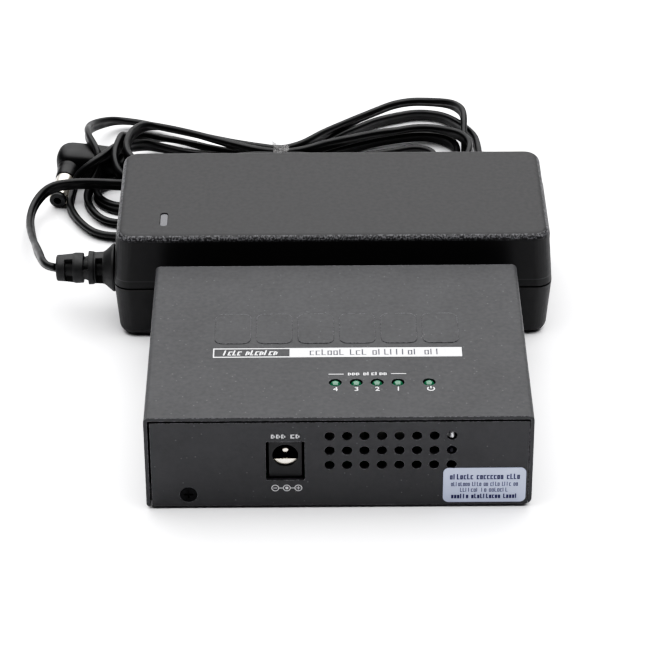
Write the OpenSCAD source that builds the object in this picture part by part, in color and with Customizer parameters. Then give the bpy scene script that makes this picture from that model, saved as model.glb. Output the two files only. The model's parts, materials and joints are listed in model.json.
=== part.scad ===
// PoE injector in a sheet steel case, with its desktop power adapter and tied DC lead.
// Millimetres, +Z up. The injector's front panel faces -Y. The origin lies on the resting
// surface, at the middle of the space that the two housings cover.

/* [Injector case] */
// Width across the side walls
case_w = 97; // [96:0.5:100]
// Depth from the front panel to the rear panel
case_d = 73.3; // [72:0.1:75]
// Height without the feet
case_h = 26.6; // [26.4:0.1:28]
// Thickness of the sheet steel
sheet_t = 1; // [0.8:0.1:1.1]
// Height of the stick-on feet
foot_h = 0.8; // [0.6:0.1:2]

/* [Front panel] */
// Columns of vent holes
vent_cols = 8; // [4:1:8]
// Rows of vent holes
vent_rows = 3; // [1:1:3]
// Spacing of the vent holes
vent_pitch = 4.35; // [4:0.05:4.6]
// Diameter of a vent hole
vent_dia = 2.5; // [2:0.1:3]
// Bore of the DC jack
jack_bore = 6.4; // [6:0.1:6.6]
// Diameter of the jack's centre pin
jack_pin_dia = 2.1; // [2:0.05:2.5]

/* [Ports] */
// Ports in one row of the rear block
port_cols = 4; // [2:1:4]
// Spacing of neighbouring ports
port_pitch = 13.97; // [13.9:0.01:14.2]

/* [Power adapter] */
// Length of the adapter's housing
brick_w = 119.8; // [116:0.2:124]
// Depth of the adapter's housing
brick_d = 50.5; // [48:0.5:56]
// Height of the adapter's housing
brick_h = 32.2; // [31:0.1:36]
// Gap between the injector and the adapter as they stand
pair_gap = 6.8; // [4:0.1:12]

/* [Lead] */
// Width of the flat twin lead
lead_w = 4; // [3.6:0.1:4.4]
// Thickness of the flat twin lead
lead_t = 2; // [1.8:0.1:2.2]
// Diameter of the plug's barrel
plug_dia = 5.5; // [5:0.1:5.6]

/* [Hidden] */
$fn = 48;
slip = 0.1;                 // air gap between separate pieces
panel_gap = 0.45;           // open joint along the panels' left and upper edges
fine = 0.05;                // radial clearance of a shank in its hole
far = 400;                  // longer than anything here

// injector, in its own frame: origin at the middle of the front panel's lower edge
total_d = case_d + pair_gap + brick_d;
case_x = 0.8;
case_y = -total_d / 2;
bend_r = 1.4;
low_left_r = 0.75;
low_right_r = 1.9;
inner_w = case_w - 2 * sheet_t;
vent_x = -2.33;
vent_z = 20.95;
lamp_y = 15.8;
port_lamp_x = [-0.73, 4.53, 9.79, 15.05];
power_lamp_x = 22.9;
lamp_hole = 3.3;
screw_x = 37.8;
screw_z = 3.5;
screw_head = 4.2;
screw_hole = 2.8;
screw_r = 1.2;
tab_w = 13;
tab_h = 6.4;
tab_t = 1.2;

// board and what stands on it
board_z = 6.4;
board_t = 1.6;
board_top = board_z + board_t;
board_w = 91;
board_y0 = 3;
board_y1 = 70.9;
post_at = [[-41, 24], [41, 24], [-41, 64], [41, 64]];
jack_x = -13.4;
jack_y = 1.1;
jack_w = 8.4;
jack_d = 14;
jack_h = 11;
pin_root_r = 0.8;
jack_axis_z = board_top + 6.5;
jack_cut_w = 9.6;
jack_cut_z = [7.8, 19.3];

// rear port block
port_wall = 1.25;
block_w = port_cols * port_pitch + 2 * port_wall;
block_h = 21.6;
block_z = 2.6;
block_d = 28;
block_y1 = case_d + 0.6;
block_y0 = block_y1 - block_d;
shield_t = 0.3;
port_w = 11.8;
port_h = 7;
port_deep = 14;
latch_w = 6.2;
latch_h = 1.9;
port_floor = 2.9;

// adapter, in its own frame: origin under the middle of the front face at the seam
brick_y = case_y + case_d + pair_gap;
seam_z = 16.15;
brick_taper = 0.95;
brick_corner = 4.5;
brick_edge = 2.4;
brick_foot_edge = 3;
brick_wall = 2.2;
tongue_t = 0.95;
tongue_h = 2;
seam_gap = 0.4;
relief_y = 11.7;
relief_len = 16.3;
window_x = -46;
window_y = 10.2;
window_w = 2.1;
window_l = 7.2;
inlet_y = 25.2;
inlet_z = 16.15;
inlet_pin_at = [[-7, -2], [7, -2], [0, 2]];

// plug: origin where the barrel's axis meets the head's own axis
plug_at = [-77.7, 106.6, 5.7];
plug_turn = [8.5, 0, -10];   // the tip droops to the floor

barrel_len = 8.8;
collar_y = -9.5;

// hank: the two lobes of the tied lead, as circles [x, y, radius]
left_lobe = [[-63, 83.2, 15.3], [-58, 120.5, 15.5], [-44, 86, 16], [-20, 105, 5.6]];
right_lobe = [[-10, 105, 5.6], [30, 132, 15], [31, 103, 15]];
hank_h = 15.5;
waist = [-20, -10];           // where the lobes meet, along X
tie_x = -15;
tie_w = 4;
tie_t = 0.7;
tie_core = [[99.4, 0.8], [110.6, 9.4]]; // the bound bundle, as corners in Y and Z

// free stretch of the lead from the strain relief to the hank, as [x, y, z]
lead_route = [[-76, 26.5, 16.1], [-78, 27.6, 15.9], [-80.2, 31.4, 15], [-82, 39, 12.8],
              [-84.3, 50, 9.4], [-86.4, 61.5, 6.4], [-87.7, 71, 4.6], [-87.9, 78.5, 4.4],
              [-86.2, 83.8, 5.8], [-83, 86.4, 7.8], [-77.6, 87.2, 8.6]];

// ---------- shared shapes ----------

// put children in the injector's frame, or in the adapter's
module in_case() translate([case_x, case_y, foot_h]) children();
module in_brick() translate([0, brick_y, 0]) children();

// a bar along Y whose outline is drawn in X and Z
module along_y(y0, y1) translate([0, y1, 0]) rotate([90, 0, 0]) linear_extrude(y1 - y0) children();

// what a rounded corner of radius r takes off a square one at the origin
module corner_trim(r) {
    difference() {
        translate([-1, -1]) square(r + 1);
        translate([r, r]) circle(r);
    }
}

// outline of the case seen from the front
module case_outline() {
    difference() {
        translate([-case_w / 2, 0]) square([case_w, case_h]);
        translate([-case_w / 2, 0]) corner_trim(low_left_r);
        translate([case_w / 2, 0]) mirror([1, 0]) corner_trim(low_right_r);
        for (s = [0, 1])
            mirror([s, 0]) translate([-case_w / 2, case_h]) mirror([0, 1]) corner_trim(bend_r);
    }
}

module slab(x, y, z) {
    translate([x[0], y[0], z[0]]) cube([x[1] - x[0], y[1] - y[0], z[1] - z[0]]);
}

module drill_y(x, z, r, y0 = -1, y1 = far) {
    translate([x, y1, z]) rotate([90, 0, 0]) cylinder(h = y1 - y0, r = r);
}

// the block of vent holes, drilled along Y from the outline plane
module vent_drills(cols) {
    for (c = [0 : cols - 1], r = [0 : vent_rows - 1])
        drill_y(vent_x + c * vent_pitch, vent_z - r * vent_pitch, vent_dia / 2, -1, sheet_t + 1);
}

// countersunk hole for a case screw, from the panel's outer face at y = 0
module screw_seat() {
    for (s = [-1, 1]) {
        drill_y(s * screw_x, screw_z, screw_hole / 2, -1, sheet_t + 1);
        translate([s * screw_x, -0.01, screw_z]) rotate([-90, 0, 0])
            cylinder(h = 0.71, r1 = screw_head / 2 + 0.2, r2 = screw_hole / 2);
    }
}

// ---------- injector case ----------

module screw_tabs() {
    for (s = [-1, 1])
        difference() {
            slab([min(s * inner_w / 2, s * (inner_w / 2 - tab_w)),
                  max(s * inner_w / 2, s * (inner_w / 2 - tab_w))],
                 [sheet_t + slip, sheet_t + slip + tab_t], [sheet_t + slip, tab_h]);
            drill_y(s * screw_x, screw_z, screw_r + fine, -1, 5);
        }
}

module top_cover() color("dimgray") in_case() {
    difference() {
        along_y(0, case_d) difference() {
            case_outline();
            translate([-inner_w / 2, -1]) square([inner_w, case_h + 1 - sheet_t]);
        }
        for (x = concat(port_lamp_x, [power_lamp_x]))
            translate([x, lamp_y, case_h - 2]) cylinder(h = 3, r = lamp_hole / 2);
        // vents through both side walls, towards the rear
        for (c = [0 : 5], r = [0 : vent_rows - 1])
            translate([-far / 2, 36 + c * vent_pitch, vent_z - r * vent_pitch])
                rotate([0, 90, 0]) cylinder(h = far, r = vent_dia / 2);
    }
    screw_tabs();
    translate([0, case_d, 0]) mirror([0, 1, 0]) screw_tabs();
}

module base_tray() color([0.2, 0.2, 0.21]) in_case() {
    across = [-inner_w / 2 + panel_gap, inner_w / 2 - slip];
    panel_h = case_h - sheet_t - panel_gap;
    difference() {
        intersection() {
            along_y(0, case_d) case_outline();
            union() {
                slab(across, [0, case_d], [0, sheet_t]);
                slab(across, [0, sheet_t], [0, panel_h]);
                slab(across, [case_d - sheet_t, case_d], [0, panel_h]);
            }
        }
        vent_drills(vent_cols);
        slab([jack_x - jack_cut_w / 2, jack_x + jack_cut_w / 2], [-1, sheet_t + 1], jack_cut_z);
        screw_seat();
        translate([0, case_d, 0]) mirror([0, 1, 0]) screw_seat();
        slab([-block_w / 2 - slip, block_w / 2 + slip], [case_d - 3, case_d + 1],
             [block_z - slip, block_z + block_h + slip]);
    }
}

module screw_pair() {
    for (s = [-1, 1])
        translate([s * screw_x, 0.05, screw_z]) rotate([-90, 0, 0])
            difference() {
                union() {
                    cylinder(h = 0.6, r1 = screw_head / 2 + 0.05, r2 = screw_hole / 2 - 0.05);
                    cylinder(h = 5, r = screw_r);
                }
                for (a = [0, 90])
                    rotate(a) translate([-1.1, -0.2, -1]) cube([2.2, 0.4, 1.7]);
            }
}

module case_screws() color([0.08, 0.08, 0.09]) in_case() {
    screw_pair();
    translate([0, case_d, 0]) mirror([0, 1, 0]) screw_pair();
}

module rubber_feet() color([0.1, 0.1, 0.1]) in_case() {
    for (x = [-38, 38], y = [10, case_d - 10])
        translate([x, y, -foot_h]) cylinder(h = foot_h, r = 4.5);
}

module rating_label() color([0.75, 0.75, 0.78]) in_case() {
    slab([-24, 24], [24, 50], [-0.1, 0]);
}

module assembly_seal() color([0.72, 0.73, 0.82]) in_case() {
    seal_r = 1.5;
    along_y(-0.1, 0) difference() {
        translate([26.1, 0.8]) square([20.8, 10.4]);
        for (i = [0, 1], j = [0, 1])
            translate([26.1 + i * 20.8, 0.8 + j * 10.4]) mirror([i, 0]) mirror([0, j])
                corner_trim(seal_r);
    }
}

// ---------- board and electronics ----------

module circuit_board() color([0.05, 0.35, 0.2]) in_case() {
    difference() {
        slab([-board_w / 2, board_w / 2], [board_y0, board_y1], [board_z, board_top]);
        slab([-block_w / 2 - 0.3, block_w / 2 + 0.3], [block_y0 - 0.3, far], [0, far]);
        for (p = post_at) translate([p[0], p[1], 0]) cylinder(h = 20, r = 1.6);
    }
}

module standoffs() color("silver") in_case() {
    for (p = post_at)
        translate([p[0], p[1], sheet_t]) difference() {
            cylinder(h = board_z - sheet_t, r = 2.8);
            translate([0, 0, 1]) cylinder(h = 10, r = screw_r + fine);
        }
}

module board_screws() color("silver") in_case() {
    for (p = post_at)
        translate([p[0], p[1], board_top]) difference() {
            union() {
                translate([0, 0, -5]) cylinder(h = 5, r = screw_r);
                cylinder(h = 1.4, r = 2.6);
            }
            for (a = [0, 90])
                rotate(a) translate([-1.4, -0.3, 0.6]) cube([2.8, 0.6, 2]);
        }
}

module dc_jack_body() color([0.06, 0.06, 0.06]) in_case() {
    difference() {
        slab([jack_x - jack_w / 2, jack_x + jack_w / 2], [jack_y, jack_y + jack_d],
             [board_top, board_top + jack_h]);
        drill_y(jack_x, jack_axis_z, jack_bore / 2, 0, jack_y + 10.5);
        // pocket for the spring contact below the bore
        slab([jack_x - 2.3, jack_x + 2.3], [jack_y + 2, jack_y + 10.5],
             [jack_axis_z - jack_bore / 2 - 0.9, jack_axis_z - 1.8]);
        // seat of the centre pin's root
        drill_y(jack_x, jack_axis_z, pin_root_r, 0, jack_y + 13);
    }
}

module dc_jack_pin() color("gold") in_case() {
    tip_r = 0.6;
    pin_r = jack_pin_dia / 2;
    translate([jack_x, jack_y + 2.2, jack_axis_z]) rotate([-90, 0, 0]) {
        rotate_extrude() difference() {
            square([pin_r, 8.3]);
            translate([pin_r, 0]) mirror([1, 0]) corner_trim(tip_r);
        }
        translate([0, 0, 8.2]) cylinder(h = 2.6, r = pin_root_r);
    }
}

module dc_jack_contact() color("silver") in_case() {
    z0 = jack_axis_z - jack_bore / 2 - 0.9;
    translate([jack_x - 2.2, 0, 0]) rotate([90, 0, 90]) linear_extrude(4.4)
        polygon([[jack_y + 10.5, z0], [jack_y + 10.5, z0 + 0.35], [jack_y + 5.5, z0 + 1.15],
                 [jack_y + 2.3, z0 + 0.6], [jack_y + 2.3, z0 + 0.25], [jack_y + 5.5, z0 + 0.8],
                 [jack_y + 9, z0]]);
}

// lamp with its dome above the cover, flange and two legs
module lamp(x) {
    dome_z = case_h - 1.2;
    translate([x, lamp_y, 0]) {
        translate([0, 0, dome_z]) rotate_extrude() intersection() {
            circle(1.5);
            square(2);
        }
        translate([0, 0, dome_z - 3.1]) cylinder(h = 3.1, r = 1.5);
        translate([0, 0, dome_z - 3.8]) cylinder(h = 0.7, r = 1.9);
        for (s = [-1, 1])
            translate([s * 0.95 - 0.2, -0.2, board_top]) cube([0.4, 0.4, dome_z - 3.8 - board_top]);
    }
}

module port_lamps() color([0.1, 0.55, 0.25]) in_case() for (x = port_lamp_x) lamp(x);
module power_lamp() color([0.1, 0.55, 0.25]) in_case() lamp(power_lamp_x);

module lamp_spacers() color([0.9, 0.9, 0.88]) in_case() {
    for (x = concat(port_lamp_x, [power_lamp_x]))
        translate([x, lamp_y, board_top]) difference() {
            cylinder(h = case_h - 5 - board_top - slip, r = 2.1);
            translate([0, 0, -1]) cylinder(h = far, r = 1.35);
        }
}

// centres of the port columns
function port_x(i) = (i - (port_cols - 1) / 2) * port_pitch;

// one port's opening; the latch notch points down
module port_hole(depth) {
    translate([-port_w / 2, -depth, 0]) cube([port_w, depth + 1, port_h]);
    translate([-latch_w / 2, -depth, -latch_h]) cube([latch_w, depth + 1, latch_h + 1]);
}

// all ports, the upper row's latches pointing up
module port_holes(depth) {
    for (i = [0 : port_cols - 1]) {
        translate([port_x(i), block_y1, block_z + port_floor]) port_hole(depth);
        translate([port_x(i), block_y1, block_z + block_h - port_floor]) mirror([0, 0, 1])
            port_hole(depth);
    }
}

module port_housing() color([0.07, 0.07, 0.07]) in_case() {
    difference() {
        slab([-block_w / 2 + shield_t, block_w / 2 - shield_t],
             [block_y0 + shield_t, block_y1 - shield_t],
             [block_z + shield_t, block_z + block_h - shield_t]);
        port_holes(port_deep);
    }
}

module port_shield() color("silver") in_case() {
    difference() {
        slab([-block_w / 2, block_w / 2], [block_y0, block_y1], [block_z, block_z + block_h]);
        slab([-block_w / 2 + shield_t, block_w / 2 - shield_t],
             [block_y0 + shield_t, block_y1 - shield_t],
             [block_z + shield_t, block_z + block_h - shield_t]);
        port_holes(port_deep);
    }
}

// a sprung wire that leans out of the wall opposite the latch
module port_wires() {
    for (k = [0 : 7])
        translate([(k - 3.5) * 1.02 - 0.2, 0, 0]) rotate([90, 0, 90]) linear_extrude(0.4)
            polygon([[-3.4, port_h], [-3.4, port_h - 0.4], [-11.5, port_h - 2.2],
                     [-11.9, port_h - 1.9], [-5.5, port_h - 0.35], [-5.5, port_h]]);
}

module port_contacts() color("gold") in_case() {
    for (i = [0 : port_cols - 1]) {
        translate([port_x(i), block_y1, block_z + port_floor]) port_wires();
        translate([port_x(i), block_y1, block_z + block_h - port_floor]) mirror([0, 0, 1])
            port_wires();
    }
}

module isolation_transformers() color([0.09, 0.09, 0.1]) in_case() {
    for (i = [0 : port_cols - 1])
        slab([port_x(i) - 6, port_x(i) + 6], [35, 44], [board_top, board_top + 5.5]);
}

module controller_chip() color([0.05, 0.05, 0.06]) in_case() {
    slab([-26, -16], [20, 30], [board_top + 0.2, board_top + 1.7]);
}

// gull-wing leads on the chip's four sides
module chip_leads() color("silver") in_case() {
    for (side = [0 : 3], k = [0 : 7])
        translate([-21, 25, board_top]) rotate(90 * side)
            translate([(k - 3.5) * 1.1 - 0.2, 5, 0]) cube([0.4, 1.4, 0.6]);
}

// capacitors as [x, y, radius, height, sleeve's height]; the first one shows through a vent
cap_at = [[28.5, 6.4, 3.2, 13.4, 9.6], [37.5, 9.6, 4, 12, 12], [-30, 10, 5, 13, 13],
          [-39.5, 14, 4, 12, 12]];

module capacitor_sleeves() color([0.1, 0.1, 0.14]) in_case() {
    for (c = cap_at)
        translate([c[0], c[1], board_top]) difference() {
            cylinder(h = c[4], r = c[2]);
            translate([0, 0, -1]) cylinder(h = far, r = c[2] - 0.3);
        }
}

module capacitor_cans() color("silver") in_case() {
    for (c = cap_at)
        translate([c[0], c[1], board_top]) difference() {
            cylinder(h = c[3] - 0.2, r = c[2] - 0.3);
            for (a = [0, 90])
                rotate(a) translate([-c[2] + 1.3, -0.15, c[3] - 0.5]) cube([2 * c[2] - 2.6, 0.3, 1]);
        }
}

coil_at = [[-1, 26], [12, 26], [25, 26]];

module inductor_cores() color([0.2, 0.2, 0.21]) in_case() {
    for (p = coil_at)
        translate([p[0], p[1], board_top]) {
            cylinder(h = 1.2, r = 5);
            cylinder(h = 7, r = 2.4);
            translate([0, 0, 5.8]) cylinder(h = 1.2, r = 5);
        }
}

module inductor_windings() color([0.72, 0.4, 0.2]) in_case() {
    for (p = coil_at)
        translate([p[0], p[1], board_top + 1.2 + fine]) difference() {
            cylinder(h = 4.5, r = 4.5);
            translate([0, 0, -1]) cylinder(h = 10, r = 2.4 + fine);
        }
}

module resettable_fuses() color([0.9, 0.65, 0.15]) in_case() {
    for (x = [-36, -31, 31.5, 36.5])
        translate([x, 36, board_top + 3.8]) rotate([0, 90, 0]) cylinder(h = 1.6, r = 3.6);
}

module heat_sink() color([0.7, 0.7, 0.72]) in_case() {
    slab([-38, -29], [24, 26], [board_top, board_top + 12]);
    for (k = [0 : 3])
        slab([-38 + k * 2.5, -36.5 + k * 2.5], [25.9, 30], [board_top, board_top + 12]);
}

// ---------- adapter shells ----------

// plan of the housing, drawn in by a margin on every side
module brick_plan(margin) {
    w = brick_w - 2 * margin;
    d = brick_d - 2 * margin;
    r = brick_corner - min(margin, 3) * 0.8;
    translate([-w / 2, margin]) difference() {
        square([w, d]);
        for (i = [0, 1], j = [0, 1])
            translate([i * w, j * d]) mirror([i, 0]) mirror([0, j]) corner_trim(r);
    }
}

// round bead of tube radius r around a vertical corner, for the housing's rolled edges
module corner_beads(margin, z, r) {
    run = brick_corner - r;
    for (i = [-1, 1], j = [-1, 1])
        translate([i * (brick_w / 2 - margin - brick_corner),
                   brick_d / 2 + j * (brick_d / 2 - margin - brick_corner), z])
            rotate_extrude($fn = 32) intersection() {
                translate([run, 0]) circle(r, $fn = 32);
                translate([0, -r]) square(2 * brick_corner);
            }
}

// solid halves of the housing, shrunk by a wall thickness for the hollow inside
module upper_half(wall) {
    hull() {
        translate([0, 0, seam_z]) linear_extrude(0.1) brick_plan(wall);
        corner_beads(brick_taper + wall, brick_h - wall - brick_edge, brick_edge);
    }
}

module lower_half(wall) {
    hull() {
        translate([0, 0, seam_z - 0.1]) linear_extrude(0.1) brick_plan(wall);
        corner_beads(brick_taper + wall, wall + brick_foot_edge, brick_foot_edge);
    }
}

// capsule outline of the lamp window, drawn in by a margin
module window_outline(margin) {
    r = window_w / 2 - margin;
    translate([window_x, window_y]) {
        for (s = [-1, 1]) translate([0, s * (window_l / 2 - window_w / 2)]) circle(r);
        translate([-r, -window_l / 2 + window_w / 2]) square([2 * r, window_l - window_w]);
    }
}

module inlet_cut(margin) {
    slab([40, 70], [inlet_y - 14 - margin, inlet_y + 14 + margin],
         [inlet_z - 10.5 - margin, inlet_z + 10.5 + margin]);
}

module relief_hole() {
    translate([-70, relief_y, seam_z]) rotate([0, 90, 0]) cylinder(h = 20, r = 3.6);
}

module adapter_top_shell() color([0.16, 0.16, 0.17]) in_brick() {
    difference() {
        upper_half(0);
        upper_half(brick_wall);
        translate([0, 0, seam_z - 1]) linear_extrude(1 + seam_gap / 2) brick_plan(-5);
        translate([0, 0, seam_z - 1]) linear_extrude(1 + tongue_h) brick_plan(brick_wall - tongue_t - fine);
        translate([0, 0, brick_h - 5]) linear_extrude(10) window_outline(0);
        inlet_cut(slip);
        relief_hole();
    }
}

module adapter_bottom_shell() color([0.14, 0.14, 0.15]) in_brick() {
    difference() {
        union() {
            difference() {
                lower_half(0);
                translate([0, 0, seam_z - seam_gap / 2]) linear_extrude(5) brick_plan(-5);
            }
            translate([0, 0, seam_z - 1]) linear_extrude(1 + tongue_h - fine)
                brick_plan(brick_wall - tongue_t);
        }
        lower_half(brick_wall);
        translate([0, 0, seam_z - 1]) linear_extrude(10) brick_plan(brick_wall + 0.3);
        inlet_cut(slip);
        relief_hole();
        slab([-35, 35], [12, 38], [-1, 0.2]);
    }
}

module adapter_lamp_window() color([0.35, 0.35, 0.35]) in_brick() {
    translate([0, 0, brick_h - brick_wall]) linear_extrude(brick_wall - 0.25) window_outline(fine);
}

module adapter_label() color([0.75, 0.75, 0.78]) in_brick() {
    slab([-34.8, 34.8], [12.2, 37.8], [0.1, 0.2]);
}

// ---------- adapter internals ----------

module adapter_board() color([0.72, 0.6, 0.35]) in_brick() {
    slab([-50, 34], [6, 44], [5, 6.6]);
    for (x = [-44, 26], y = [10, 39])
        slab([x, x + 4], [y, y + 3], [brick_wall, 5]);
}

module adapter_core() color([0.2, 0.2, 0.2]) in_brick() {
    difference() {
        slab([-14, 14], [12, 38], [9, 27]);
        slab([-9.5, 9.5], [11, 39], [12, 24]);
    }
}

module adapter_winding() color([0.85, 0.7, 0.2]) in_brick() {
    slab([-9.4, 9.4], [9, 41], [12.1, 23.9]);
    for (y = [9, 39]) slab([-9.4, 9.4], [y, y + 2], [6.6, 12.1]);
}

module adapter_bulk_capacitor() color([0.1, 0.12, 0.3]) in_brick() {
    translate([17, 16, 16.1]) rotate([0, 90, 0]) cylinder(h = 15, r = 7.5);
    slab([20, 28], [13, 19], [6.6, 9.2]);
}

module adapter_output_capacitors() color([0.1, 0.12, 0.3]) in_brick() {
    for (y = [14, 25, 36]) translate([-38, y, 6.6]) cylinder(h = 18, r = 4.8);
}

module adapter_heat_sinks() color([0.75, 0.75, 0.77]) in_brick() {
    slab([-28, -26], [9, 41], [6.6, 26]);
    slab([-26, -19], [9, 41], [24, 26]);
}

module adapter_line_choke() color([0.25, 0.25, 0.22]) in_brick() {
    translate([25.5, 34, 6.6]) difference() {
        cylinder(h = 10, r = 7.5);
        translate([0, 0, -1]) cylinder(h = 20, r = 2.5);
    }
}

// ---------- mains inlet ----------

// plug opening of the inlet, with its two bevelled upper corners, seen along X
module inlet_opening() {
    polygon([[-12.2, -8.3], [12.2, -8.3], [12.2, 3], [7, 8.3], [-7, 8.3], [-12.2, 3]]);
}

module inlet_housing() color([0.07, 0.07, 0.07]) in_brick() {
    face_x = brick_w / 2 - 0.3;
    translate([face_x, inlet_y, inlet_z]) rotate([90, 0, 90]) difference() {
        translate([0, 0, -22]) linear_extrude(22) square([28, 21], center = true);
        translate([0, 0, -16]) linear_extrude(17) inlet_opening();
        for (p = inlet_pin_at)
            translate([p[0] - 1, p[1] - 2, -25]) cube([2, 4, 25]);
    }
}

module inlet_pins() color("silver") in_brick() {
    face_x = brick_w / 2 - 0.3;
    translate([face_x, inlet_y, inlet_z]) rotate([90, 0, 90])
        for (p = inlet_pin_at)
            translate([p[0] - 1, p[1] - 2, -24]) cube([2, 4, 19.5]);
}

// ---------- strain relief, lead, tie and plug ----------

// slotted bush that the lead leaves through, drawn from the housing's wall outwards
module strain_relief() color([0.12, 0.12, 0.13]) in_brick() {
    translate([-brick_w / 2, relief_y, seam_z]) rotate([0, -90, 0]) {
        difference() {
            rotate_extrude() polygon([
                [0, -brick_wall], [3.5, -brick_wall], [3.5, 0.1], [6.7, 0.1], [6.5, 0.8], [5.6, 1.9],
                [4.9, 3.2], [4.4, 3.8], [4.4, 5], [4.7, 5.9], [4.7, 6.8], [4.4, 7.1], [4.1, 8.5],
                [4.3, 8.8], [4.2, 11.8], [3.9, 12.2], [3.9, 13.6], [3.9, 15.9], [3.4, relief_len],
                [0, relief_len]]);
            difference() {
                union() {
                    translate([-1.3, -6, 5]) cube([2.6, 12, 0.9]);
                    for (s = [-1, 1]) {
                        translate([-2.6, s * 4.4 - 3, 5]) cube([5.2, 6, 0.9]);
                        translate([s * 5.75 - 3, -6, 7.1]) cube([6, 12, 1.5]);
                        translate([-2.2, s * 4.2 - 3, 12]) cube([4.4, 6, 1.6]);
                    }
                }
                cylinder(h = 20, r = 2.2);
            }
        }
    }
}

// smooth curve through four neighbouring route points, t from 0 to 1 between p1 and p2
function curve(p0, p1, p2, p3, t) =
    0.5 * (2 * p1 + (p2 - p0) * t + (2 * p0 - 5 * p1 + 4 * p2 - p3) * t * t
           + (3 * p1 - p0 - 3 * p2 + p3) * t * t * t);

function unit(v) = v / norm(v);

// rings of the lead's oval section along a route, the wide side upright
module flat_lead(route, steps) {
    n = len(route);
    path = [for (i = [0 : n - 2], k = [0 : steps - 1])
                curve(route[max(i - 1, 0)], route[i], route[i + 1], route[min(i + 2, n - 1)],
                      k / steps), route[n - 1]];
    m = len(path);
    sides = 8;
    rings = [for (i = [0 : m - 1])
                let (ahead = unit(path[min(i + 1, m - 1)] - path[max(i - 1, 0)]),
                     across = unit(cross(ahead, [0, 0, 1])),
                     up = cross(across, ahead))
                for (k = [0 : sides - 1])
                    path[i] + across * (lead_t / 2 * cos(k * 360 / sides))
                            + up * (lead_w / 2 * sin(k * 360 / sides))];
    walls = [for (i = [0 : m - 2], k = [0 : sides - 1])
                let (a = i * sides + k, b = i * sides + (k + 1) % sides)
                [a, b, b + sides, a + sides]];
    start_cap = [for (k = [0 : sides - 1]) sides - 1 - k];
    end_cap = [for (k = [0 : sides - 1]) (m - 1) * sides + k];
    polyhedron(points = rings, faces = concat([start_cap, end_cap], walls));
}

module lead_start() color([0.1, 0.1, 0.1]) flat_lead(lead_route, 2);

module lobe(circles) {
    hull() for (c = circles) translate([c[0], c[1]]) circle(c[2], $fn = 32);
}

module lead_hank() color([0.1, 0.1, 0.1]) {
    y0 = tie_core[0][0];
    y1 = tie_core[1][0];
    difference() {
        linear_extrude(hank_h) {
            lobe(left_lobe);
            lobe(right_lobe);
            translate([waist[0], y0]) square([waist[1] - waist[0], y1 - y0]);
        }
        // waist that the tie goes round
        slab([tie_x - tie_w / 2, tie_x + tie_w / 2], [-far, far], [-1, tie_core[0][1]]);
        slab([tie_x - tie_w / 2, tie_x + tie_w / 2], [-far, far], [tie_core[1][1], far]);
        slab([tie_x - tie_w / 2, tie_x + tie_w / 2], [-far, y0], [-1, far]);
        slab([tie_x - tie_w / 2, tie_x + tie_w / 2], [y1, far], [-1, far]);
        // room for the plug, which lies under the loops
        slab([-far, -60.9], [96.3, 113], [-1, 11.9]);
        slab([-far, -75.4], [83, 97], [-1, 8.4]);
    }
}

module cord_tie() color([0.8, 0.8, 0.78]) {
    a = tie_core[0];
    b = tie_core[1];
    difference() {
        slab([tie_x - tie_w / 2 + slip, tie_x + tie_w / 2 - slip], [a[0] - tie_t, b[0] + tie_t],
             [a[1] - tie_t, b[1] + tie_t]);
        slab([-far, far], [a[0], b[0]], [a[1], b[1]]);
    }
}

// put children in the plug's frame: barrel towards -Y, head towards +X
module in_plug() translate(plug_at) rotate(plug_turn) children();

module plug_head() color([0.1, 0.1, 0.1]) in_plug() {
    hull() {
        for (y = [-0.9, 0.9], z = [-1.2, 1.3])
            translate([-0.4, y, z]) sphere(4.2, $fn = 32);
        for (y = [-3, 3], z = [-3.2, 3.4])
            translate([11, y, z]) sphere(1.8, $fn = 20);
        translate([15.6, -3, -3]) cube([0.8, 6, 6.4]);
    }
    translate([0, -4.2, 0]) rotate([90, 0, 0]) cylinder(h = -4.2 - collar_y, r = 3.6);
}

module plug_barrel() color("silver") in_plug() {
    translate([0, collar_y - slip / 2, 0]) rotate([90, 0, 0]) difference() {
        cylinder(h = barrel_len, r = plug_dia / 2);
        translate([0, 0, -1]) cylinder(h = far, r = 2.1);
    }
}

module plug_tip() color([0.06, 0.06, 0.06]) in_plug() {
    translate([0, collar_y - slip / 2, 0]) rotate([90, 0, 0]) difference() {
        union() {
            cylinder(h = barrel_len + 1, r = 2.05);
            translate([0, 0, barrel_len + 0.05]) cylinder(h = 1.2, r = plug_dia / 2 - 0.3);
        }
        translate([0, 0, 1.5]) cylinder(h = far, r = 1.1);
    }
}

top_cover();
base_tray();
case_screws();
rubber_feet();
rating_label();
assembly_seal();
circuit_board();
standoffs();
board_screws();
dc_jack_body();
dc_jack_pin();
dc_jack_contact();
port_lamps();
power_lamp();
lamp_spacers();
port_housing();
port_shield();
port_contacts();
isolation_transformers();
controller_chip();
chip_leads();
capacitor_sleeves();
capacitor_cans();
inductor_cores();
inductor_windings();
resettable_fuses();
heat_sink();
adapter_top_shell();
adapter_bottom_shell();
adapter_lamp_window();
adapter_label();
adapter_board();
adapter_core();
adapter_winding();
adapter_bulk_capacitor();
adapter_output_capacitors();
adapter_heat_sinks();
adapter_line_choke();
inlet_housing();
inlet_pins();
strain_relief();
lead_start();
lead_hank();
cord_tie();
plug_head();
plug_barrel();
plug_tip();
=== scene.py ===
"""Looks of a PoE injector, its desktop power adapter and its tied DC lead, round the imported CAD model."""

import json
import math

import bmesh
import bpy
import numpy as np
from mathutils import Euler, Matrix, Vector


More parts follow.
